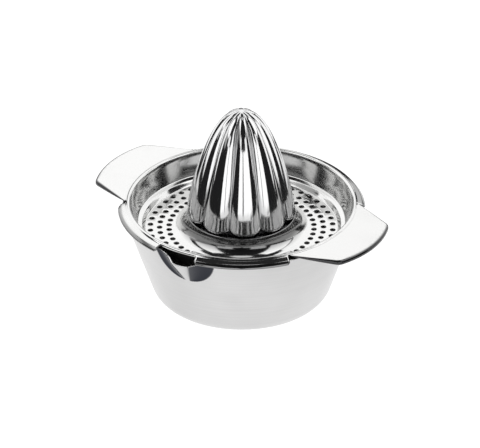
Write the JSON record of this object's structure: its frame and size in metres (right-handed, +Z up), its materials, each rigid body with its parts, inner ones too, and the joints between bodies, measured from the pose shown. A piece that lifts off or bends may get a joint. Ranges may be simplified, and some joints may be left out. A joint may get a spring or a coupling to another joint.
{
  "type": "citrus press juicer",
  "caption": "Steel hand citrus press: ribbed reamer cone on a perforated lift-out strainer with wing handles, seated in a tapered bowl with a pressed pouring spout.",
  "frame": {"origin": "centre of the bowl's flat base, on the surface that the press stands on", "axes": "+Z up along the axis of the bowl and the cone; the pouring spout points along -Y; the two wing handles lie along X, turned 4 degrees clockwise seen from above, as the insert lies in the bowl"},
  "size_m": [0.1764, 0.1423, 0.1196],
  "materials": {
    "bowl_satin_steel": "satin, finely brushed round the bowl",
    "tray_mirror_steel": "mirror-polished stainless steel",
    "cone_mirror_steel": "mirror-polished stainless steel"
  },
  "bodies": {
    "bowl": {"bowl": "bowl_satin_steel"},
    "insert": {"strainer_tray": "tray_mirror_steel", "reamer_cone": "cone_mirror_steel"}
  },
  "joints": [
    {"name": "insert_lift", "type": "slide", "parent": "bowl", "child": "insert", "axis": [0, 0, 1], "range_m": [0, 0.08]}
  ]
}
